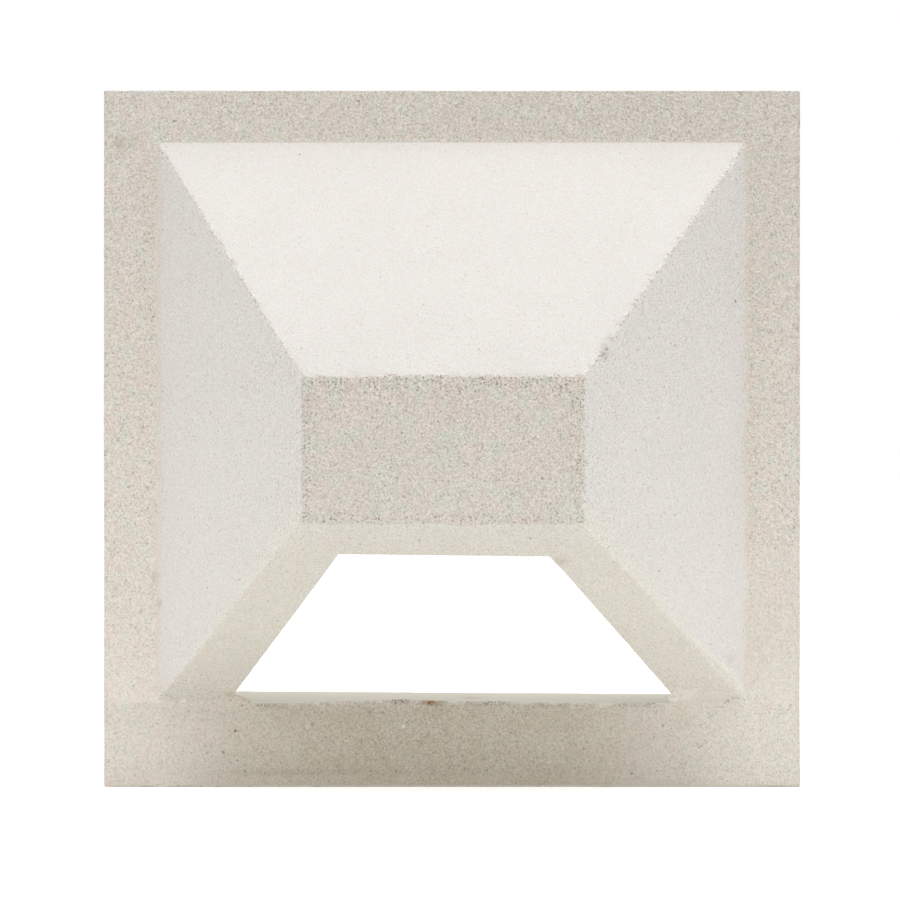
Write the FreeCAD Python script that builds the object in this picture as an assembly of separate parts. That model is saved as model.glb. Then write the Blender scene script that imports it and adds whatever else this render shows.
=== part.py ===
import FreeCAD, Part
import os

os.makedirs("parts", exist_ok=True)

# Decorative screen block with a rain hood, cast in one piece.
# A square frame carries a hollow hood on its front. The hood is open along
# its underside, and the frame is open at the back.
# Millimetres. +Z is up and the hood points toward -Y.
# The origin is the middle of the footprint, on the bed face.

# Frame
face_width = 200.0
face_height = 200.0
frame_depth = 60.0

# Flat margin of the frame that stays visible round the foot of the hood
margin_side = 15.3
margin_top = 14.7
margin_bottom = 24.9

# Hood, a pyramid cut off by a flat plate
hood_reach = 50.0
plate_width = 76.2
plate_height = 39.5
plate_foot_height = 77.2
plate_thickness = 8.6

# Hollow behind the hood, open at the back
mouth_width_at_plate = 57.6
hollow_top_at_plate = 107.0
throat_depth = 22.0
throat_wall = 17.0
back_wall = 16.0
hollow_corner_radius = 5.0
sill_corner_radius = 2.5

# Sill, the upper side of the lower part of the frame
sill_height = 24.0
sill_fall = 2.0

# Worn rounding of every outside edge, and of the corner at the hood's foot
edge_radius = 0.4

# Depth planes, from front to back
total_depth = hood_reach + frame_depth
plate_y = -total_depth / 2
plate_back_y = plate_y + plate_thickness
rim_y = plate_y + hood_reach
throat_y = rim_y + throat_depth
back_y = total_depth / 2
past_back_y = back_y + frame_depth / 5


def rectangle(y, width, bottom, top):
    """Upright rectangle at one depth, centred on the middle of the block."""
    corners = [
        FreeCAD.Vector(-width / 2, y, bottom),
        FreeCAD.Vector(width / 2, y, bottom),
        FreeCAD.Vector(width / 2, y, top),
        FreeCAD.Vector(-width / 2, y, top),
    ]
    return Part.makePolygon(corners + corners[:1])


def taper(front, back):
    """Solid with flat sides between two rectangles."""
    return Part.makeLoft([front, back], True, True)


def frame():
    """Square block that the hood stands on."""
    corner = FreeCAD.Vector(-face_width / 2, rim_y, 0)
    return Part.makeBox(face_width, frame_depth, face_height, corner)


def hood():
    """Cut-off pyramid on the front of the frame."""
    plate_top = plate_foot_height + plate_height
    foot_width = face_width - 2 * margin_side
    foot_top = face_height - margin_top
    plate = rectangle(plate_y, plate_width, plate_foot_height, plate_top)
    foot = rectangle(rim_y, foot_width, margin_bottom, foot_top)
    return taper(plate, foot)


def outside():
    """Frame and hood in one, with every edge lightly rounded."""
    solid = frame().fuse(hood()).removeSplitter()
    return solid.makeFillet(edge_radius, solid.Edges)


def sill_at(y):
    """Height of the sill at a depth. It falls a little toward the back."""
    return sill_height - sill_fall * (y - rim_y) / frame_depth


def wall_at(y):
    """Side and top wall of the frame behind the throat. Draft thins it to the back."""
    gain = (throat_wall - back_wall) / (back_y - throat_y)
    return throat_wall - gain * (y - throat_y)


def frame_section(y):
    """Section of the hollow inside the frame at a depth."""
    width = face_width - 2 * wall_at(y)
    return rectangle(y, width, sill_at(y), face_height - wall_at(y))


def hood_section():
    """Section of the hollow right behind the plate."""
    bottom = sill_at(plate_back_y)
    return rectangle(plate_back_y, mouth_width_at_plate, bottom, hollow_top_at_plate)


def corner_edges(space, lowest, highest):
    """Edges that run from front to back, between two walls of the hollow."""
    long_ones = [edge for edge in space.Edges if edge.BoundBox.YLength > throat_depth]
    return [edge for edge in long_ones if lowest < edge.BoundBox.Center.z < highest]


def hollow():
    """Space taken out of the block, with rounded corners between its walls."""
    in_hood = taper(hood_section(), frame_section(throat_y))
    in_frame = taper(frame_section(throat_y), frame_section(past_back_y))
    space = in_hood.fuse(in_frame).removeSplitter()
    above_sill = sill_height + sill_corner_radius
    space = space.makeFillet(sill_corner_radius, corner_edges(space, 0, above_sill))
    return space.makeFillet(hollow_corner_radius, corner_edges(space, above_sill, face_height))


def screen_block():
    """The block as it leaves its mould."""
    return outside().cut(hollow()).removeSplitter().Solids[0]


screen_block().exportStep("parts/screen_block.step")
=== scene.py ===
import bmesh
import bpy
import numpy as np
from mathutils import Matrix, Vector
from mathutils.bvhtree import BVHTree


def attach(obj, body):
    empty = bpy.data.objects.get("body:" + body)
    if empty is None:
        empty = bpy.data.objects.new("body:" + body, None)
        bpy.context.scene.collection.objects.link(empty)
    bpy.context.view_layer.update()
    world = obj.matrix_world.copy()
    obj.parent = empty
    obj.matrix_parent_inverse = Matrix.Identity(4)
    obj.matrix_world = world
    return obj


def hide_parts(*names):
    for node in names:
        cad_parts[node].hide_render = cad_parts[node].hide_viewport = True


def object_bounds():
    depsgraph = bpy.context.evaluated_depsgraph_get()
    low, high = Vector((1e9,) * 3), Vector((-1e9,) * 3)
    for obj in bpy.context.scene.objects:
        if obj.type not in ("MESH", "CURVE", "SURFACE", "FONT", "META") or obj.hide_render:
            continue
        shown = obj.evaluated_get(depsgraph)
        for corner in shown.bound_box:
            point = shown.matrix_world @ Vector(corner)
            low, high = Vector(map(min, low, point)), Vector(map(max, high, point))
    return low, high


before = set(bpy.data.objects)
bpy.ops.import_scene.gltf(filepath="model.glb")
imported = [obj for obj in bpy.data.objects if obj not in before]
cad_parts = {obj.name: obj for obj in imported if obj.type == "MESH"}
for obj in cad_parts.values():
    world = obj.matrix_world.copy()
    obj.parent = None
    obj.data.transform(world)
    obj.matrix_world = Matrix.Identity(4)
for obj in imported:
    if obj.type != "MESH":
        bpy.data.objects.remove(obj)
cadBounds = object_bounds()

# Concrete screen block with a rain hood, standing on its bed on a pale table.
# Metres, as in the frame: +Z up, the hood points toward -Y.
print("Frame loaded, block is", [round(float(high - low), 3) for low, high in zip(*cadBounds)])


# Small helpers

# Colour of a hex code as the linear values a shader reads
def toLinear(hexColour):
    channels = [int(hexColour[i:i + 2], 16) / 255 for i in (1, 3, 5)]
    linear = [c / 12.92 if c <= 0.04045 else ((c + 0.055) / 1.055) ** 2.4 for c in channels]
    return (*linear, 1.0)


# Adds a node, sets its properties, and fills each named input with a value or a link
def addNode(tree, kind, inputs=None, **settings):
    node = tree.nodes.new(kind)
    for name, value in settings.items():
        setattr(node, name, value)
    for name, value in (inputs or {}).items():
        if isinstance(value, bpy.types.NodeSocket):
            tree.links.new(value, node.inputs[name])
        else:
            node.inputs[name].default_value = value
    return node


# Texture scale for a pattern whose features are this large
def perMetre(millimetres):
    return 1000.0 / millimetres


# Smooth noise from -1 to 1, with bumps about as far apart as size
def latticeNoise(points, size, seed):
    scaled = points / size
    cell = np.floor(scaled).astype(np.int64)
    part = scaled - cell
    blend = part * part * (3 - 2 * part)
    total = np.zeros(len(points))
    for corner in range(8):
        offset = np.array([corner & 1, (corner >> 1) & 1, (corner >> 2) & 1])
        at = cell + offset
        code = at[:, 0] * 374761393 + at[:, 1] * 668265263 + at[:, 2] * 1440662683 + seed * 69069
        for shift in (13, 15, 16):
            code = ((code ^ (code >> shift)) * 1274126177) & 0xFFFFFFFF
        value = (code >> 8) / 8388607.5 - 1
        weight = np.prod(np.where(offset == 1, blend, 1 - blend), axis=1)
        total += value * weight
    return total


# Several sizes of noise on top of each other, each half as large and half as strong
def layeredNoise(points, size, seed, layers=3):
    return sum(latticeNoise(points, size / 2 ** k, seed + k) / 2 ** k for k in range(layers))


# Nearest place to every point on a straight piece of edge
def footOnLine(points, start, end):
    start, end = np.array(start), np.array(end)
    along = end - start
    share = np.clip((points - start) @ along / (along @ along), 0, 1)
    return start + share[:, None] * along


# Distance of every point to the nearest of some straight edges
def distanceToLines(points, lines):
    return np.min([np.linalg.norm(points - footOnLine(points, *line), axis=1) for line in lines], axis=0)


# The block: its real form comes from the CAD mesh, its skin is made here

blockSkin = {
    "gridDepth": 8,  # cells of about 0.8 mm
    "gridScale": 0.98,
    "triangles": 190000,
    "plateHalfWidth": 0.0381,
    "plateBottom": 0.0772,
    "plateTop": 0.1167,
    "footHalfWidth": 0.0847,
    "footBottom": 0.0249,
    "footTop": 0.1853,
    "hoodReach": 0.05,
    "sillHeight": 0.024,
    "hoodShift": 0.0003,
    "creaseAngle": 0.7,  # radians
    "wearWidth": 0.0011,
    "hoodWear": 0.00020,
    "outlineWear": 0.00004,
    "mouthWear": 0.00006,
    "chipCount": 90,
    "seed": 7,
}
rimY = float(cadBounds[0][1]) + blockSkin["hoodReach"]

# Mortar left in the two corners of the sill, in millimetres: corners of each lump, with
# the depth counted from the front of the frame
mortarLumps = [
    [(-65, 0.1, 23.4), (-65, -2.3, 27.4), (-63.2, -2.3, 27.4), (-56.3, 0.1, 24.0), (-56.3, 0.1, 23.4),
     (-65, 14, 23.4), (-65, 9, 26.2), (-57.5, 12, 23.4)],
    [(65, 0.1, 23.4), (65, -1.6, 26.8), (61.3, -1.6, 26.6), (62.6, 0.1, 23.9), (62.6, 0.1, 23.4),
     (65, 12, 23.4), (65, 8, 25.4), (62.6, 10, 23.4)],
]

# Larger damage, in millimetres: place, radius, depth
blockChips = [
    ((44.2, -48.6, 124.7), 1.6, 0.7),
    ((42.3, -50.7, 126.5), 1.1, 0.5),
    ((40.4, -52.8, 121.5), 1.0, 0.4),
    ((80.4, -10.1, 31.2), 2.4, 0.8),
    ((77.6, -12.8, 33.9), 2.0, 0.6),
    ((75.0, -15.4, 36.4), 1.6, 0.5),
    ((82.6, -7.4, 28.2), 1.9, 0.6),
    ((15.2, -55.0, 77.2), 1.0, 0.5),
    ((3.6, -55.0, 77.2), 0.9, 0.4),
    ((-61.9, -23.4, 44.4), 1.2, 0.4),
]


# A line and its twin on the other side of the block
def mirrored(line):
    return [line, tuple((-x, y, z) for x, y, z in line)]


# Outward edges of the hood and of the frame, as pairs of points
def arrisLines():
    backY, side, height = cadBounds[1][1], cadBounds[1][0], cadBounds[1][2]
    hood = lowerRidges() + upperRidges() + plateEdges()
    box = []
    for y in (rimY, backY):
        box += mirrored(((side, y, 0), (side, y, height)))
        box += [((-side, y, z), (side, y, z)) for z in (0, height)]
    for z in (0, height):
        box += mirrored(((side, rimY, z), (side, backY, z)))
    return hood, box


# Ridges between the underside of the hood and its sides
def lowerRidges():
    v = blockSkin
    return mirrored(((v["footHalfWidth"], rimY, v["footBottom"]),
                     (v["plateHalfWidth"], cadBounds[0][1], v["plateBottom"])))


# Ridges between the top slope of the hood and its sides
def upperRidges():
    v = blockSkin
    return mirrored(((v["footHalfWidth"], rimY, v["footTop"]),
                     (v["plateHalfWidth"], cadBounds[0][1], v["plateTop"])))


# Edges round the flat plate
def plateEdges():
    v = blockSkin
    plateY, plate = cadBounds[0][1], v["plateHalfWidth"]
    sides = mirrored(((plate, plateY, v["plateBottom"]), (plate, plateY, v["plateTop"])))
    return sides + [((-plate, plateY, z), (plate, plateY, z)) for z in (v["plateBottom"], v["plateTop"])]


# Copy of a CAD mesh with the doubled points along its facets joined
def mergedCopy(node):
    shape = bmesh.new()
    shape.from_mesh(node.data)
    bmesh.ops.remove_doubles(shape, verts=shape.verts, dist=1e-6)
    mesh = bpy.data.meshes.new("blockForm")
    shape.to_mesh(mesh)
    shape.free()
    return mesh


# Sharp edges of the form, where two faces meet with no rounding, as pairs of points
def creaseLines(form):
    shape = bmesh.new()
    shape.from_mesh(form)
    paired = [edge for edge in shape.edges if len(edge.link_faces) == 2 and edge.calc_length() > 1e-5]
    sharp = [edge for edge in paired if abs(edge.calc_face_angle()) > blockSkin["creaseAngle"]]
    lines = [tuple(tuple(vert.co) for vert in edge.verts) for edge in sharp]
    shape.free()
    return lines


# The mesh after one modifier
def applied(mesh, kind, **settings):
    helper = bpy.data.objects.new("blockHelper", mesh)
    bpy.context.scene.collection.objects.link(helper)
    modifier = helper.modifiers.new(kind, kind)
    for name, value in settings.items():
        setattr(modifier, name, value)
    result = bpy.data.meshes.new_from_object(helper.evaluated_get(bpy.context.evaluated_depsgraph_get()))
    bpy.data.objects.remove(helper)
    return result


# The form with the lumps of mortar grown into it
def withMortar(form):
    for corners in mortarLumps:
        shape = bmesh.new()
        for x, y, z in corners:
            shape.verts.new((x / 1000, rimY + y / 1000, z / 1000))
        bmesh.ops.convex_hull(shape, input=shape.verts)
        mesh = bpy.data.meshes.new("mortarLump")
        shape.to_mesh(mesh)
        shape.free()
        lump = bpy.data.objects.new("mortarLump", mesh)
        bpy.context.scene.collection.objects.link(lump)
        form = applied(form, "BOOLEAN", operation="UNION", solver="EXACT", object=lump)
        bpy.data.objects.remove(lump)
    return form


# Point places ("co") or directions ("normal") of a mesh as rows of three
def read(mesh, what):
    flat = np.zeros(len(mesh.vertices) * 3)
    mesh.vertices.foreach_get(what, flat)
    return flat.reshape(-1, 3)


# Nearest place on the CAD surface for every point, and the surface direction there
def snapToForm(points, form):
    tree = BVHTree.FromPolygons([v.co for v in form.vertices], [p.vertices[:] for p in form.polygons])
    found = [tree.find_nearest(Vector(point)) for point in points]
    return np.array([hit[0] for hit in found]), np.array([hit[1] for hit in found])


# Flattens the surface round a point on an edge, as where a flake has broken off
def knockChip(points, normals, centre, radius, depth):
    offset = points - centre
    reach = np.linalg.norm(offset, axis=1)
    near = np.nonzero(reach < radius)[0]
    if not len(near):
        return
    outward = normals[near].mean(axis=0)
    outward /= np.linalg.norm(outward)
    height = offset[near] @ outward + depth
    fade = np.clip(2.0 * (1 - reach[near] / radius), 0, 1)
    points[near] -= outward * (np.maximum(height, 0) * fade)[:, None]


# Frays the outward edges, the hood's most, and breaks chips off the hood and the back
def wearEdges(points, normals, creases):
    v = blockSkin
    hood, box = arrisLines()
    fray = 0.5 + 1.1 * layeredNoise(points, 0.0035, 11, 3)
    depth = np.zeros(len(points))
    for lines, most in ((hood, "hoodWear"), (box, "outlineWear"), (creases, "mouthWear")):
        share = np.exp(-(distanceToLines(points, lines) / v["wearWidth"]) ** 2)
        depth = np.maximum(depth, share * v[most] * np.maximum(fray, 0))
    points -= normals * depth[:, None]
    random = np.random.default_rng(v["seed"])
    backEdges = [line for line in box if line[0][1] > 0 and line[1][1] > 0]
    lines = [np.array(line) for line in hood * 3 + backEdges]
    lengths = np.array([np.linalg.norm(end - start) for start, end in lines])
    for pick in random.choice(len(lines), v["chipCount"], p=lengths / lengths.sum()):
        start, end = lines[pick]
        radius = random.uniform(0.0007, 0.0017)
        centre = start + random.uniform(0.02, 0.98) * (end - start)
        knockChip(points, normals, centre, radius, random.uniform(0.2, 0.5) * radius)
    for place, radius, depth in blockChips:
        knockChip(points, normals, np.array(place) / 1000, radius / 1000, depth / 1000)


# Hollows and swells of a hand-struck casting, and the open grain of its flat faces
def unevenSkin(points, normals, flat, creases):
    sandy = np.abs(flat[:, 1]) > 0.95
    # the hood was cast a touch to the right, the upper part of its mouth was not
    nearMouth = np.clip(1 - distanceToLines(points, creases) / 0.004, 0, 1)
    nearMouth = np.where(flat[:, 1] > -0.3, 1, nearMouth)
    high = np.clip((points[:, 2] - 0.035) / 0.033, 0, 1)
    inHood = np.clip((rimY - points[:, 1]) / 0.003, 0, 1)
    points[:, 0] += blockSkin["hoodShift"] * inHood * (1 - nearMouth * high)
    slow = layeredNoise(points, 0.026, 3, 3) * 0.00006
    quick = layeredNoise(points, 0.0024, 5, 2) * np.where(sandy, 0.00006, 0.00003)
    points += normals * (slow + quick)[:, None]


# The core was set a hair askew: the lip behind the plate and the back edge of the sill
# both fall to the right
def turnedCore(points):
    x, y, z = points.T
    lip = [((-0.0288, rimY - 0.0414, 0.0682), (0.0288, rimY - 0.0414, 0.0682))]
    share = np.clip(1 - distanceToLines(points, lip) / 0.008, 0, 1)
    drop = np.interp(x, [-0.028, 0.028], [-0.00022, 0.00046]) * share
    points[:, 1] += 0.956 * drop
    points[:, 2] -= drop
    nearSill = np.clip((z - 0.018) / 0.003, 0, 1) * np.clip((0.0285 - z) / 0.004, 0, 1)
    back = np.clip((y - rimY) / 0.055, 0, 1) * np.clip((0.076 - np.abs(x)) / 0.008, 0, 1)
    points[:, 2] -= 0.0004 * x / 0.062 * nearSill * back


# How far the front lip of the sill stands above its plane, along the block
def sillRise(x):
    places = [-52, -43, -29, -15, 0, 14, 28, 42, 57, 63]
    rises = [0, 0, 0.6, 1.1, 0.6, 0.6, 0.2, 0, 0.2, 0]
    return np.interp(x * 1000, places, rises) / 1000


# Marks on the lower part of the frame: a struck bevel, a mould seam, mortar
# smeared over the right foot of the hood, and the raised front lip of the sill
def toolMarks(points, flat):
    front = (flat[:, 1] < -0.95) & (points[:, 1] > rimY - 0.001) & (points[:, 2] < 0.0245)
    x, y, z = points.T
    bevelTop = 0.0039 - 0.0019 * np.clip((x + 0.02) / 0.1, 0, 1)
    inside = np.clip((0.086 - np.abs(x)) / 0.004, 0, 1)
    bevel = np.clip((bevelTop - z) / 0.0006, 0, 1) * inside * 0.0003
    seam = np.exp(-((x + blockSkin["footHalfWidth"]) / 0.0005) ** 2) * 0.0002
    points[:, 1] += np.where(front, bevel + seam, 0)
    aside = np.abs(flat[:, 1]) > 0.3
    foot = np.exp(-((x - 0.0720) / 0.0070) ** 4 - ((z - 0.0238) / 0.0024) ** 2)
    points[:, 1] -= np.where(aside & (y > rimY - 0.0025), foot * 0.00015, 0)
    # front lip of the sill, struck a little higher in the middle
    nearLip = np.clip((rimY + 0.005 - y) / 0.003, 0, 1) * np.clip((z - 0.0212) / 0.0026, 0, 1)
    onSill = (np.abs(x) < 0.063) & (y > rimY - 0.0008) & (z < 0.0252)
    points[:, 2] += np.where(onSill, sillRise(x) * nearLip, 0)


# The finished block as one closed mesh
def buildBlock():
    v = blockSkin
    form = mergedCopy(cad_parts["screen_block"])
    creases = creaseLines(form)
    form = withMortar(form)
    depth = v["gridDepth"] - 0
    mesh = applied(form, "REMESH", mode="SHARP", octree_depth=depth, scale=v["gridScale"])
    points, flat = snapToForm(read(mesh, "co"), form)
    mesh.vertices.foreach_set("co", points.ravel())
    mesh.update()
    normals = read(mesh, "normal")
    unevenSkin(points, normals, flat, creases)
    turnedCore(points)
    toolMarks(points, flat)
    wearEdges(points, normals, creases)
    mesh.vertices.foreach_set("co", points.ravel())
    mesh.update()
    mesh.calc_loop_triangles()
    share = min(1.0, v["triangles"] / len(mesh.loop_triangles))
    final = applied(mesh, "DECIMATE", ratio=share, use_collapse_triangulate=True)
    final.name = "screenBlockBody"
    final.vertices.foreach_set("co", np.clip(read(final, "co"), cadBounds[0], cadBounds[1]).ravel())
    final.update()
    final.shade_smooth()
    final.set_sharp_from_angle(angle=v["creaseAngle"])
    paintSkin(final, form)
    block = bpy.data.objects.new("screenBlockBody", final)
    bpy.context.scene.collection.objects.link(block)
    print("Block has", len(final.polygons), "triangles and", len(creases), "crease lines")
    return block


# Small stains away from the sill's edge, in millimetres: place, radius (or one for each
# axis), strength
smallStains = [
    ((-95.6, -5.0, 184.6), 2.2, 0.30),
    ((-91.5, -5.0, 184.9), 2.0, 0.25),
    ((-85.2, -5.0, 60.8), 1.0, 0.45),
    ((-83.5, -5.6, 52.7), 1.1, 0.45),
    ((31.4, -44.7, 66.4), 1.3, 0.55),
    ((43.9, -48.8, 123.2), 1.3, 0.45),
    ((79.5, -10.3, 37.3), 1.2, 0.25),
    ((4.4, 25.0, 23.0), (2.2, 5.0, 1.0), 0.45),
    ((-49.0, -5.0, 4.0), (14.0, 2.0, 1.2), 0.12),
    ((-62.9, -6.8, 26.8), (2.0, 2.0, 0.8), 0.5),
    ((-60.0, -6.0, 25.3), (1.2, 2.0, 0.7), 0.45),
]


# How stained each point is, from 0 to 1
def stainLevel(points, grain):
    level = np.zeros(len(points))
    for place, radius, strength in smallStains:
        reach = np.linalg.norm((points * 1000 - np.array(place)) / np.array(radius), axis=1)
        level = np.maximum(level, strength * np.exp(-reach ** 2))
    return np.clip(level * (1 + 0.6 * grain), 0, 1)


# The parts of the surface, as one mask each. Here and in the functions below, lengths
# are in millimetres.
def surfaceParts(points, flat):
    x, y, z = points.T * 1000
    rim, plateFace = rimY * 1000, cadBounds[0][1] * 1000
    part = {"forward": flat[:, 1] < -0.95}
    onRim = part["forward"] & (y > rim - 0.2)
    part["onHood"] = (y < rim + 0.05) & (flat[:, 1] < -0.1) & ~onRim
    part["rim"] = part["forward"] & ~part["onHood"]
    part["plate"] = part["onHood"] & (part["forward"] | (y < plateFace + 0.4))
    part["band"] = part["onHood"] & ~part["plate"] & (flat[:, 2] <= -0.35)
    part["slopes"] = part["onHood"] & ~part["plate"] & ~part["band"]
    part["top"] = part["slopes"] & (flat[:, 2] > 0.35)
    part["sides"] = part["slopes"] & ~part["top"]
    inside = ~part["onHood"] & (flat[:, 1] > -0.3) & (np.abs(x) < 84.6) & (z > 20) & (z < 184.6)
    inCorner = (z > 24.5) & (z < 28.5) & (np.abs(np.abs(x) - 60) < 6.5) & (y < rim + 12)
    part["mortar"] = ~part["onHood"] & inCorner & (inside | part["forward"])
    part["hollow"] = inside & ~part["mortar"]
    part["sill"] = part["hollow"] & (flat[:, 2] > 0.8)
    part["underSill"] = part["rim"] & (z < 24.2 + sillRise(x / 1000) * 1000)
    return part


# Where the mortar was smeared over the right foot of the hood, from 0 to 1
def smearLevel(x, z, part, blotch):
    smear = np.exp(-((x - 73) / 8.5) ** 4 - ((z - 24) / 4.2) ** 2) * (1 + 0.5 * blotch)
    reached = (part["forward"] & ~part["plate"]) | part["band"] | part["mortar"]
    return np.where(reached, np.clip(smear, 0, 1), 0)


# How far the skin of the right side swells over its lower ridge
def ridgeBulge(x, z, part):
    heights = [25.5, 28.4, 33, 37.8, 41, 45, 47]
    return np.interp(z, heights, [0, 1.3, 2.2, 1.6, 1.1, 0.3, 0]) * (part["sides"] & (x > 0))


# Share of pale paste over the sand
def pasteLevel(x, y, z, part, cloud, smear, bulge, beyond):
    onBand = np.where(part["band"], np.interp(z, [50, 66, 77], [0, 0.25, 0.65]), 0.0)
    paste = np.where(part["slopes"] | part["hollow"], 1.0, onBand)
    inset = np.where(x < 0, 1.6, 0.8)
    behindRim = np.clip((rimY * 1000 - y - inset) / 2.2 + 0.5 + 0.4 * cloud, 0, 1)
    paste = np.where(part["sides"], behindRim, paste)
    toCorner = np.hypot(x + 85.5, z - 186.0)
    paste = np.where(part["rim"], 0.9 * np.exp(-(toCorner / 1.2) ** 2), paste)
    paste = np.where(bulge > 0.05, np.minimum(paste, beyond), paste)
    paste = np.where(part["band"] & (x > 0), np.maximum(paste, 0.36), paste)
    paste = np.where(part["forward"] & (x > 66) & (z < 30), np.maximum(paste, 0.3), paste)
    return np.maximum(paste, 0.25 * smear)


# Share of the creamy tint, on the band, on the sill and along the lower ridges
def creamLevel(x, z, part, blotch, toLowerRidge, bulge, beyond, lowCorner, chipped):
    ridgeWidth = np.interp(z, [30, 50, 77], [1.4, 2.6, 4.2])
    ridgeShare = np.interp(z, [30, 50, 77], [0.25, 0.55, 0.75]) + 0.2 * blotch
    onRidge = np.exp(-(toLowerRidge / ridgeWidth) ** 2) * ridgeShare
    onBand = np.interp(z, [26, 45, 65, 77], [0.15, 0.80, 0.50, 0.10])
    cream = np.where(part["band"], onBand, np.where(part["sill"], 0.9, 0.0))
    cream = np.where(part["band"] & (x > 0), cream * np.interp(z, [35, 55], [0.6, 1.0]), cream)
    cream = np.maximum(cream, np.where(part["onHood"], onRidge, 0))
    cream = np.maximum(cream, np.where(bulge > 0.05, 0.5 * (1 - beyond), 0))
    cream = np.maximum(cream, 0.4 * lowCorner * (x > 0))
    return np.clip(np.maximum(cream, 0.7 * chipped), 0, 1)


# Painted light and shade, with some real tone: how much lighter or darker than its material each part is
# drawn, before what the painted hood shadow and the wet corners add. The random cloud, the mortar smear and
# the chip are real tone; the rest stands in for how light falls.
def toneAndShadingLevel(points, part, cloud, smear, lowCorner, chipped):
    x, y, z = points.T * 1000
    # painted light and shade on the frame: lighter lower down, where the table's light reaches, and a touch
    # darker to the right; darker across the left half at the sill's height; the struck bevel along the foot
    # lighter, where the table's light reaches it, with a thin darker line along its top
    rimShading = np.interp(z, [0, 13, 68, 147, 191], [0.125, 0.125, 0.085, 0.005, -0.05])
    rimShading -= 0.018 * np.clip(x / 50, -1, 1)
    rimShading -= 0.04 * np.exp(-((z - 21) / 4) ** 2) * (x < 0)
    rimShading += 0.05 * np.clip((4.2 - z) / 0.8, 0, 1) * (np.abs(x) < 86)
    rimShading -= 0.06 * np.exp(-((z - 4.4) / 0.6) ** 2) * (np.abs(x + 9) < 54)
    # painted light: each face of the hood gets its own level for how light falls on it; the top slope
    # lighter near its upper edge, the side slopes lighter lower down with the right one set apart, the band
    # lighter halfway up and on the right near its foot, the plate darker higher up
    topShading = 0.004 + 0.03 * np.exp(-((z - 185) / 6) ** 2)
    sideShading = np.interp(z, [30, 60, 110, 170], [0.10, 0.09, 0.045, 0.015])
    sideShading = sideShading + np.where(x > 0, np.interp(z, [40, 80], [0.012, -0.015]), 0)
    bandShading = np.interp(z, [25, 32, 50, 77], [-0.01, 0.01, 0.03, -0.02])
    bandShading += 0.075 * np.exp(-((z - 31) / 9) ** 2) * (x > 0)
    plateShading = np.interp(z, [77, 117], [-0.02, -0.045])
    # painted light: the sill lighter toward its front, where the hood shades it
    sillShading = np.interp(y, [rimY * 1000, 55], [0.10, -0.02])
    partShading = {"top": topShading, "slopes": sideShading, "band": bandShading, "mortar": -0.02, "sill": sillShading,
             "plate": plateShading, "hollow": 0}
    toneAndShading = np.select([part[name] for name in partShading], list(partShading.values()), rimShading)
    # painted shade: a thin darker line along the front outer edges of the block
    frontEdges = [line for line in arrisLines()[1] if line[0][1] < 0 and line[1][1] < 0]
    toFrontEdge = distanceToLines(points, frontEdges) * 1000
    smearTone = smear * np.where(z > 24.9, 0.05, -0.01)
    toneAndShading = toneAndShading + 0.012 * cloud + smearTone - 0.08 * np.exp(-(toFrontEdge / 0.7) ** 2)
    # painted shadow of the hood on the frame under the sill
    toneAndShading -= np.where(part["underSill"], np.interp(x, [40, 56], [0.072, 0.04]), 0)
    # painted light: the low outer corners of the frame, clear of the hood's shadow, drawn lighter
    toneAndShading += 0.05 * lowCorner
    return toneAndShading + 0.09 * chipped


# How much painted shadow of the hood, with a warm tint, falls on the frame under the sill, how wet the two
# low corners of the opening are, and what those wet corners add to its tone
def shadowAndWetLevel(x, z, part, cloud, smear):
    lowEnd = np.clip((24.5 - 3.5 * np.clip((x - 56) / 10, 0, 1) - z) / 1.5, 0, 1)
    # painted shadow of the hood across the frame under the sill, fading toward both ends
    shade = np.exp(-((x + 8) / 60) ** 4) * lowEnd * (0.9 + 0.25 * cloud)
    shadowAndWet = np.where(part["underSill"], shade, 0) * (1 - smear)
    leftCorner = np.exp(-((x + 60) / 6) ** 4 - ((z - 25.5) / 4.5) ** 4)
    rightCorner = np.exp(-((x - 65) / 4.5) ** 4 - ((z - 21.5) / 2.8) ** 4)
    nearCorner = part["forward"] | part["band"] | part["mortar"]
    wet = np.where(nearCorner, 0.5 * np.maximum(leftCorner, rightCorner), 0)
    gain = np.maximum(wet - shadowAndWet, 0)
    added = 0.3 * gain + np.where(wet > 0, 0.02 * leftCorner - 0.04 * rightCorner, 0)
    return shadowAndWet + gain, added


# How strongly the sand shows
def grainLevel(x, z, part, smear, toPlateEdge, atUpperRidge):
    grain = np.interp(z, [0, 20, 70, 150], [0.40, 0.55, 1.02, 0.98])
    grain = np.where(part["plate"], np.interp(z, [77, 117], [0.88, 1.12]), grain)
    grain = np.where((x > 80) & (z < 70), 0.78 * grain, grain)
    atOutline = (np.abs(x) > 84) & (z < 25)
    grain = np.where(atOutline, np.where(x > 0, 0.70, 0.85) * grain, grain)
    onSide = 0.52 + 0.34 * np.exp(-toPlateEdge / 14) + 0.15 * np.clip((z - 100) / 40, 0, 1) * (x > 0)
    onSide += np.interp(z, [60, 100, 140], [0, 0.07, 0.12])
    onTop = np.interp(z, [117, 140], [0.43, 0.33])
    grain = np.where(part["slopes"], np.where(part["top"], onTop, onSide), grain)
    grain = np.maximum(grain, 0.95 * atUpperRidge)
    inHollow = np.where(part["hollow"], 0.35, grain)
    grain = np.where(part["band"], np.interp(z, [25, 34], [0.85, 0.58]), inHollow)
    grain = np.where(part["underSill"], np.interp(np.abs(x + 8), [25, 60], [1.0, 0.72]), grain)
    return grain * (1 - 0.4 * smear)


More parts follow.
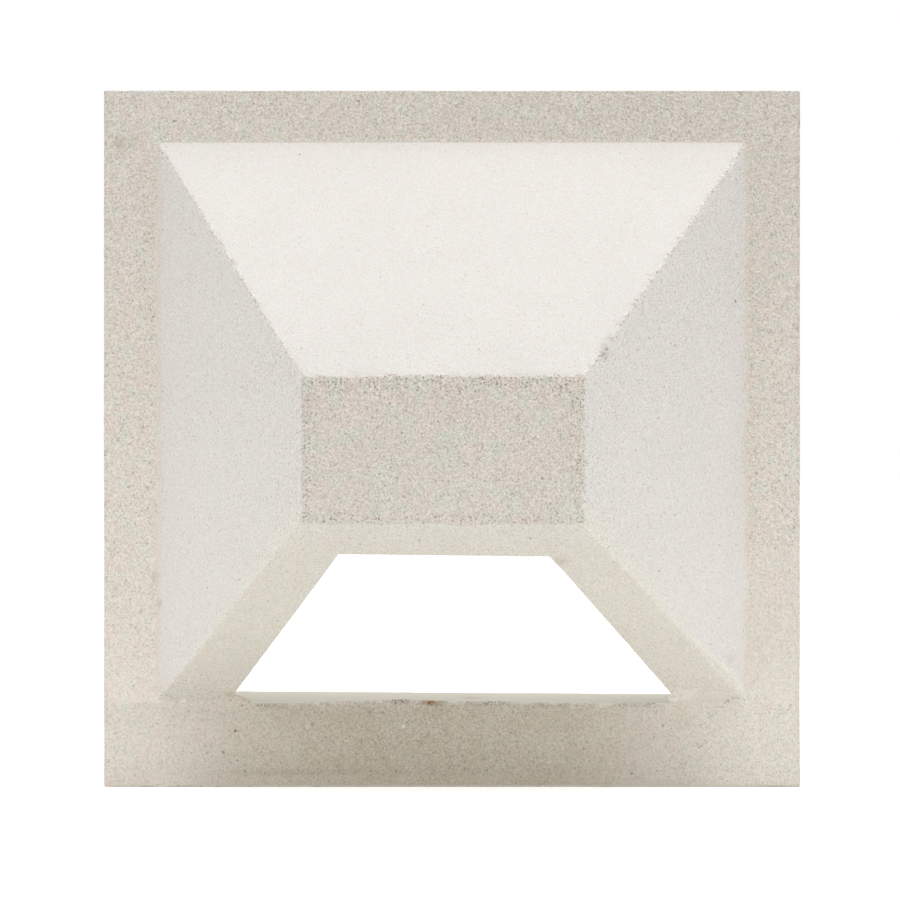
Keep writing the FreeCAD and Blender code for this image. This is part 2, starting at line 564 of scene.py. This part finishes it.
# Where more dark specks gather: round the plate, at the left end of the sill, along the
# upper ridges and at the border of the smear
def gritLevel(x, z, part, toPlateEdge, atUpperRidge):
    grit = np.where(part["plate"], np.exp(-(toPlateEdge / 3.0) ** 2), 0)
    sillEnd = 0.8 * np.exp(-((x + 58) / 6) ** 2 - ((z - 25) / 2.2) ** 2)
    grit = np.maximum(grit, np.where(part["underSill"] | part["band"] | part["mortar"], sillEnd, 0))
    grit = np.maximum(grit, 0.7 * atUpperRidge)
    smearEdge = np.abs(np.hypot(x - 84, (z - 17) * 1.25) - 10.5)
    atEdge = (part["forward"] | part["band"]) & (x > 71) & (z > 18)
    return np.maximum(grit, np.where(atEdge, np.exp(-(smearEdge / 0.8) ** 2), 0))


# Keeps, point by point, what lies on the surface, for the concrete's shader to read
def paintSkin(mesh, form):
    points = read(mesh, "co")
    _, flat = snapToForm(points, form)
    part = surfaceParts(points, flat)
    x, y, z = points.T * 1000
    blotch = layeredNoise(points, 0.0022, 21, 2)
    cloud = layeredNoise(points, 0.012, 23, 2)
    toPlateEdge = distanceToLines(points, plateEdges()) * 1000
    toLowerRidge = distanceToLines(points, lowerRidges()) * 1000
    toUpperRidge = distanceToLines(points, upperRidges()) * 1000
    atUpperRidge = part["slopes"] * np.exp(-(toUpperRidge / 0.6) ** 2) * (1 + 0.5 * blotch)
    smear = smearLevel(x, z, part, blotch)
    bulge = ridgeBulge(x, z, part)
    beyond = np.clip((toLowerRidge - bulge) / 0.4, 0, 1)
    # low outer corners of the frame beside the hood, drawn lighter as painted light; the right one also
    # takes a cream tint
    lowCorner = part["rim"] * np.clip((np.abs(x) - 66) / 12, 0, 1) * np.clip((40 - z) / 20, 0, 1)
    chipped = np.exp(-((x - 66) / 4) ** 4 - ((z - 26.4) / 1.9) ** 4) * (part["band"] | part["mortar"])
    shadowAndWet, shadowAndWetTone = shadowAndWetLevel(x, z, part, cloud, smear)

    # the two upper ridges are frayed, drawn as painted light and shade: pale teeth on their sides lit like
    # the top slope, shaded gaps in the top slope dark like the sides.
    # The shader takes the bulge and the rise in metres.
    onRidge = toUpperRidge < 0.45
    fray = np.clip(atUpperRidge, 0, 1) * np.interp(z, [117, 150], [0.6, 1.0])
    layers = {
        "litTeeth": fray * (onRidge | ~part["top"]),
        "shadedGaps": fray * (onRidge | part["top"]),
        "paste": pasteLevel(x, y, z, part, cloud, smear, bulge, beyond),
        "cream": creamLevel(x, z, part, blotch, toLowerRidge, bulge, beyond, lowCorner, chipped),
        # painted light and shade of each part, with its real tone
        "toneAndShading": toneAndShadingLevel(points, part, cloud, smear, lowCorner, chipped) + shadowAndWetTone,
        "shadowAndWet": np.clip(shadowAndWet, 0, 1),
        "grain": grainLevel(x, z, part, smear, toPlateEdge, atUpperRidge),
        "grit": gritLevel(x, z, part, toPlateEdge, atUpperRidge),
        "stain": stainLevel(points, blotch),
        "bulge": bulge / 1000,
        "rise": sillRise(x / 1000) + np.interp(x, [-62, -56.5], [0.0034, 0]),
    }
    for name, values in layers.items():
        mesh.attributes.new(name, "FLOAT", "POINT").data.foreach_set("value", values.astype(np.float32))


# Cast concrete of white cement and fine sand. Sand shows on the faces that were
# struck or pressed flat, fine pale paste covers the slopes.

concreteLook = {
    "sand": "#DED6CC",
    "paste": "#E0DCD7",
    "cream": "#E2E0D2",
    "ridge": "#EAE7DF",
    # colour of the painted shade under the hood and in the ridge gaps, and of the wet corners
    "shadowAndWet": "#CBC2B0",
    "rosy": "#E1D6CD",
    "green": "#DBD9CE",
    "speck": "#6E6452",
    "stain": "#8A7A5C",
    "iron": "#885400",
    "soot": "#6F6138",
    "sillDirt": 0.17,
    "chip": "#F1EEE7",
    "fineGrain": 0.40,  # mm, fine sand, drawn as coarse as it takes to show
    "coarseGrain": 0.66,  # mm, the coarser sand
    "fineSwing": 1.00,
    "coarseSwing": 0.38,
    "swingTint": (0.93, 1.03, 1.10),
    "speckSpacing": 5.5,  # mm, between the larger dark grains
    "patchSize": 4.8,  # mm, rosy and greenish patches
    "crumbSize": 0.55,  # mm, of the dirt on the sill's edge
    "roughness": 0.93,
}

# Water stains along the front edge of the sill, in millimetres: middle, half width, strength
sillStains = {
    "iron": [(-5.7, 4.2, 0.55), (-6.1, 1.4, 1.0), (6.0, 2.6, 0.2), (25.8, 3.6, 0.2), (53.3, 2.0, 0.2)],
    "soot": [(-53.5, 7.0, 0.5), (-14.8, 3.0, 0.85), (12.3, 5.0, 0.65), (32.2, 2.5, 0.4), (48.2, 2.5, 0.4),
             (56.8, 2.6, 0.5)],
}

# Dark grains that stand out, in millimetres
boldGrains = [(81.3, -9.0, 139.4), (-62.2, -5.0, 16.2), (-79.8, -5.0, 191.2)]

# Smaller ones
mediumGrains = [
    (23.8, -50.9, 73.0), (-65.7, -5.0, 9.9), (-61.6, -5.0, 7.6), (-59.4, -5.0, 4.7), (60.5, -5.0, 17.7),
    (51.6, -5.0, 3.9),
]

# Fainter ones, most of them round a chip on the upper right ridge
faintGrains = [
    (43.8, -48.9, 123.0), (43.1, -49.6, 122.5), (44.6, -48.0, 124.4), (44.9, -47.7, 126.3),
    (45.9, -46.6, 127.4), (44.2, -48.5, 121.8), (-43.5, -7.8, 181.2), (-6.4, -50.4, 72.4),
    (-22.6, -49.3, 71.3), (-70.3, -5.0, 9.9), (-75.7, -5.0, 22.0),
]

# Very small ones in an arc over the right foot of the hood
arcGrains = [
    (77.6, -5.0, 22.9), (78.4, -5.0, 24.3), (79.2, -5.1, 24.8), (80.7, -5.5, 25.5), (81.2, -5.6, 25.8),
    (82.2, -5.6, 25.6), (84.0, -5.1, 25.0),
]

# Pale ones: a grain in the lower rim, and chips by the right foot of the hood
paleGrains = [
    (-13.9, -5.0, 17.4), (79.9, -10.2, 34.2), (62.9, -5.7, 25.3), (63.8, -5.7, 25.2), (64.7, -5.7, 25.1),
]


# Matte white-cement concrete with sand grain, dark specks, faint rosy and green
# patches and brown water stains
def concreteMaterial():
    look = concreteLook
    material = bpy.data.materials.new("castWhiteConcrete")
    material.use_nodes = True
    tree = material.node_tree
    shader = tree.nodes["Principled BSDF"]
    place = addNode(tree, "ShaderNodeTexCoord").outputs["Object"]

    def painted(name):
        return addNode(tree, "ShaderNodeAttribute", attribute_name=name).outputs["Fac"]

    def noise(size, detail):
        inputs = {"Vector": place, "Scale": perMetre(size), "Detail": detail, "Roughness": 0.6}
        return addNode(tree, "ShaderNodeTexNoise", inputs).outputs["Fac"]

    def spread(value, low, high, toLow=0.0, toHigh=1.0):
        inputs = {"Value": value, "From Min": low, "From Max": high, "To Min": toLow, "To Max": toHigh}
        return addNode(tree, "ShaderNodeMapRange", inputs).outputs[0]

    def compute(operation, a, b, c=0.0):
        return addNode(tree, "ShaderNodeMath", {0: a, 1: b, 2: c}, operation=operation).outputs[0]

    def blend(factor, under, over):
        return addNode(tree, "ShaderNodeMix", {0: factor, 6: under, 7: over}, data_type="RGBA").outputs[2]

    def vector(operation, inputs, output=0):
        return addNode(tree, "ShaderNodeVectorMath", inputs, operation=operation).outputs[output]

    grainShare = painted("grain")
    fine = noise(look["fineGrain"], 1.0)
    coarse = noise(look["coarseGrain"], 2.0)
    patches = noise(look["patchSize"], 1.0)

    # sand or paste with a broken border, faint rosy and greenish patches in the sand
    border = compute("MULTIPLY_ADD", compute("SUBTRACT", coarse, 0.5), 1.4, painted("paste"))
    paste = spread(border, 0.35, 0.65)
    colour = blend(paste, toLinear(look["sand"]), toLinear(look["paste"]))
    colour = blend(painted("cream"), colour, toLinear(look["cream"]))
    patchShare = compute("MULTIPLY", compute("MULTIPLY_ADD", paste, -0.8, 1.0), grainShare)
    for name, farEnd in (("rosy", 0.68), ("green", 0.32)):
        tinted = compute("MULTIPLY", spread(patches, 0.50, farEnd), patchShare)
        colour = blend(tinted, colour, toLinear(look[name]))
    # painted shadow of the hood under the sill, and the wet low corners of the opening
    colour = blend(painted("shadowAndWet"), colour, toLinear(look["shadowAndWet"]))

    # pale line along the two lower ridges of the hood, fainter higher up
    (ridgeStart, ridgeEnd), _ = lowerRidges()
    along = (Vector(ridgeEnd) - Vector(ridgeStart)).normalized()
    across, deep, up = addNode(tree, "ShaderNodeSeparateXYZ", {"Vector": place}).outputs
    folded = {"X": compute("ABSOLUTE", across, 0.0), "Y": deep, "Z": up}
    folded = addNode(tree, "ShaderNodeCombineXYZ", folded).outputs[0]
    aside = vector("SUBTRACT", {0: folded, 1: ridgeStart})
    aside = vector("LENGTH", {0: vector("CROSS_PRODUCT", {0: aside, 1: along})}, "Value")
    aside = compute("ABSOLUTE", compute("SUBTRACT", aside, painted("bulge")), 0.0)
    paleRidgeLine = spread(compute("MULTIPLY_ADD", coarse, -0.0006, aside), 0.0, 0.0008, 0.50, 0.0)
    lowDown = spread(up, 0.038, 0.055, 1.0, 0.1)
    colour = blend(compute("MULTIPLY", paleRidgeLine, lowDown), colour, toLinear(look["ridge"]))

    # frayed upper ridges as painted light and shade: shaded gaps in the top slope, lit teeth on the sides
    shadedGaps = compute("MULTIPLY", painted("shadedGaps"), spread(coarse, 0.50, 0.42, 0.0, 0.7))
    colour = blend(shadedGaps, colour, toLinear(look["shadowAndWet"]))
    litTeeth = compute("MULTIPLY", painted("litTeeth"), spread(coarse, 0.50, 0.56))
    colour = blend(litTeeth, colour, toLinear(look["ridge"]))

    # lighter and darker grains
    swing = compute("MULTIPLY", compute("SUBTRACT", fine, 0.5), look["fineSwing"])
    swing = compute("MULTIPLY_ADD", compute("SUBTRACT", coarse, 0.5), look["coarseSwing"], swing)
    swing = compute("MULTIPLY", swing, grainShare)
    tintedSwing = vector("SCALE", {0: look["swingTint"], "Scale": swing})
    # each part's painted light and shade, with its real tone, scales the colour
    level = vector("ADD", {0: tintedSwing, 1: compute("ADD", painted("toneAndShading"), 1.0)})
    colour = vector("MULTIPLY", {0: colour, 1: level})

    # small dark specks where the coarse grain dips, larger ones here and there
    edge = compute("MULTIPLY_ADD", painted("grit"), 0.08, 0.36)
    small = spread(compute("SUBTRACT", coarse, edge), -0.06, 0.0, 0.52, 0.0)
    cells = {"Vector": place, "Scale": perMetre(look["speckSpacing"])}
    cells = addNode(tree, "ShaderNodeTexVoronoi", cells).outputs
    lot = addNode(tree, "ShaderNodeSeparateXYZ", {"Vector": cells["Color"]}).outputs
    size = spread(lot["X"], 0.0, 1.0, 0.035, 0.075)
    inside = spread(compute("DIVIDE", cells["Distance"], size), 0.7, 1.2, 0.75, 0.0)
    large = compute("MULTIPLY", inside, compute("GREATER_THAN", lot["Y"], 0.62))
    speck = compute("MULTIPLY", compute("MAXIMUM", small, large), grainShare)
    colour = blend(speck, colour, toLinear(look["speck"]))
    marks = [(boldGrains, 0.0005, 0.8, "speck"), (mediumGrains, 0.00045, 0.6, "speck")]
    marks += [(faintGrains, 0.0005, 0.42, "speck"), (arcGrains, 0.00036, 0.45, "speck")]
    marks += [(paleGrains, 0.0007, 0.85, "chip")]
    for grains, radius, strength, name in marks:
        nearest = None
        for grainPlace in grains:
            centre = [c / 1000 for c in grainPlace]
            away = vector("DISTANCE", {0: place, 1: centre}, "Value")
            nearest = away if nearest is None else compute("MINIMUM", nearest, away)
        nearest = compute("MULTIPLY_ADD", compute("SUBTRACT", fine, 0.5), 0.0008, nearest)
        colour = blend(spread(nearest, 0.5 * radius, radius, strength, 0.0), colour, toLinear(look[name]))

    # stains: a few small ones, and a broken line along the front edge of the sill
    broken = spread(coarse, 0.36, 0.56, 0.25, 1.0)
    colour = blend(compute("MULTIPLY", painted("stain"), broken), colour, toLinear(look["stain"]))
    section = {"Y": compute("MAXIMUM", deep, rimY), "Z": compute("SUBTRACT", up, painted("rise"))}
    section = addNode(tree, "ShaderNodeCombineXYZ", section).outputs[0]
    sillEdge = (0.0, rimY, blockSkin["sillHeight"] - 0.0003)
    away = vector("DISTANCE", {0: section, 1: sillEdge}, "Value")
    wobble = compute("DIVIDE", away, spread(coarse, 0.3, 0.7, 0.4, 1.6))
    nearSill = spread(wobble, 0.0006, 0.0013, 1.0, 0.0)
    crumbs = noise(look["crumbSize"], 1.0)
    halfSpan = blockSkin["footHalfWidth"]
    acrossSill = spread(across, -halfSpan, halfSpan)
    for name, base, least in (("soot", look["sillDirt"], 0.1), ("iron", 0.0, 0.65)):
        ramp = addNode(tree, "ShaderNodeValToRGB", {"Fac": acrossSill})
        for stop in ramp.color_ramp.elements:
            stop.color = (0, 0, 0, 1)
        steps = [-62.5, -61.5, 60, 62]
        for middle, halfWidth, _ in sillStains[name]:
            steps += [middle + part * halfWidth for part in (-1, -0.5, 0.5, 1)]
        for at in steps:
            fades = [s * min(1, 2 - 2 * abs(at - middle) / half) for middle, half, s in sillStains[name]]
            value = max([base] + fades) if -62 < at < 61 else 0
            stop = ramp.color_ramp.elements.new(0.5 + at / 2000 / halfSpan)
            stop.color = (value, value, value, 1)
        mark = compute("MULTIPLY", ramp.outputs["Color"], nearSill)
        mark = compute("MULTIPLY", mark, spread(crumbs, 0.45, 0.6, least, 1.0))
        colour = blend(mark, colour, toLinear(look[name]))
    tree.links.new(colour, shader.inputs["Base Color"])

    relief = compute("MULTIPLY_ADD", coarse, 0.8, fine)
    relief = compute("MULTIPLY", relief, grainShare)
    bump = addNode(tree, "ShaderNodeBump", {"Height": relief, "Distance": 0.0003, "Strength": 0.8})
    tree.links.new(bump.outputs["Normal"], shader.inputs["Normal"])
    shader.inputs["Roughness"].default_value = look["roughness"]
    shader.inputs["Specular IOR Level"].default_value = 0.35
    return material


block = buildBlock()
block.data.materials.append(concreteMaterial())
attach(block, "root")
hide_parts("screen_block")
print("Block dressed")


# Table and surroundings

studio = {
    "tableWhite": "#F4F4F3",
    "tableGlow": 0.5,
    "tableHalfWidth": 6.0,
    "ambient": 0.742,
    "backGlow": 0.30,
    "sideGlow": 0.06,
    "softboxPower": 8.5,
    "softboxSize": 0.8,
    "softboxPlace": (0.05, -0.02, 1.3),
}


# 1 for what the camera sees, directly, mirrored or through glass, and 0 for light on surfaces
def seenByCamera(tree):
    rays = addNode(tree, "ShaderNodeLightPath").outputs
    seen = rays["Is Camera Ray"]
    for kind in ("Is Glossy Ray", "Is Transmission Ray"):
        seen = addNode(tree, "ShaderNodeMath", {0: seen, 1: rays[kind]}, operation="MAXIMUM").outputs[0]
    return seen


# Wide pale table. The camera sees it as white, with the block's shadow kept.
def buildTable():
    mesh = bpy.data.meshes.new("tableTop")
    half = studio["tableHalfWidth"]
    corners = [(-half, -half, 0), (half, -half, 0), (half, half, 0), (-half, half, 0)]
    mesh.from_pydata(corners, [], [(0, 1, 2, 3)])
    table = bpy.data.objects.new("tableTop", mesh)
    bpy.context.scene.collection.objects.link(table)
    material = bpy.data.materials.new("paleTable")
    material.use_nodes = True
    tree = material.node_tree
    shader = tree.nodes["Principled BSDF"]
    shader.inputs["Base Color"].default_value = toLinear(studio["tableWhite"])
    shader.inputs["Roughness"].default_value = 0.9
    glow = {0: seenByCamera(tree), 1: studio["tableGlow"]}
    glow = addNode(tree, "ShaderNodeMath", glow, operation="MULTIPLY")
    shader.inputs["Emission Color"].default_value = (1, 1, 1, 1)
    tree.links.new(glow.outputs[0], shader.inputs["Emission Strength"])
    mesh.materials.append(material)


# How much a direction points along an axis, cubed, from 0 to 1
def lobeAlong(tree, way, axis):
    dot = addNode(tree, "ShaderNodeVectorMath", {0: way, 1: axis}, operation="DOT_PRODUCT").outputs["Value"]
    ahead = addNode(tree, "ShaderNodeMath", {0: dot, 1: 0.0}, operation="MAXIMUM").outputs[0]
    return addNode(tree, "ShaderNodeMath", {0: ahead, 1: 3.0}, operation="POWER").outputs[0]


# Soft light from all round, a little stronger from above behind and from the right,
# seen as plain white
def buildWorld():
    world = bpy.data.worlds.new("studioAir")
    world.use_nodes = True
    tree = world.node_tree
    back = tree.nodes["Background"]
    way = addNode(tree, "ShaderNodeTexCoord").outputs["Generated"]
    strength = studio["ambient"]
    for axis, glow in (((0, 0.7071, 0.7071), "backGlow"), ((1, 0, 0), "sideGlow")):
        part = {0: lobeAlong(tree, way, axis), 1: studio[glow], 2: strength}
        strength = addNode(tree, "ShaderNodeMath", part, operation="MULTIPLY_ADD").outputs[0]
    shown = addNode(tree, "ShaderNodeMix", {0: seenByCamera(tree), 2: strength, 3: 1.0})
    back.inputs["Color"].default_value = (1, 1, 1, 1)
    tree.links.new(shown.outputs[0], back.inputs["Strength"])
    bpy.context.scene.world = world


# Large lamp above the block, a little to its right
def buildSoftbox():
    light = bpy.data.lights.new("softboxAbove", "AREA")
    light.shape = "SQUARE"
    light.size = studio["softboxSize"]
    light.energy = studio["softboxPower"]
    lamp = bpy.data.objects.new("softboxAbove", light)
    lamp.location = studio["softboxPlace"]
    lamp.rotation_euler = (Vector((0, 0, 0.1)) - lamp.location).to_track_quat("-Z", "Y").to_euler()
    bpy.context.scene.collection.objects.link(lamp)


buildTable()
buildWorld()
buildSoftbox()
print("Studio lit")


# Camera square to the face, a little right of the middle

cameraPlace = {
    "toFace": 0.85,
    "right": 0.0455,
    "height": 0.10,
    "frameWidth": 0.25843,
    "frameMiddle": (-0.00055, 0.09677),
    "sensor": 0.036,
}


def buildCamera():
    v = cameraPlace
    lens = bpy.data.cameras.new("faceCamera")
    lens.sensor_width = v["sensor"] * 1000
    lens.lens = v["sensor"] * 1000 * v["toFace"] / v["frameWidth"]
    lens.shift_x = (v["frameMiddle"][0] - v["right"]) / v["frameWidth"]
    lens.shift_y = (v["frameMiddle"][1] - v["height"]) / v["frameWidth"]
    lens.clip_start = 0.01
    lens.clip_end = 50
    camera = bpy.data.objects.new("faceCamera", lens)
    camera.location = (v["right"], rimY - v["toFace"], v["height"])
    camera.rotation_euler = (np.pi / 2, 0, 0)
    bpy.context.scene.collection.objects.link(camera)
    bpy.context.scene.camera = camera


buildCamera()
bpy.context.scene.view_settings.view_transform = "Standard"
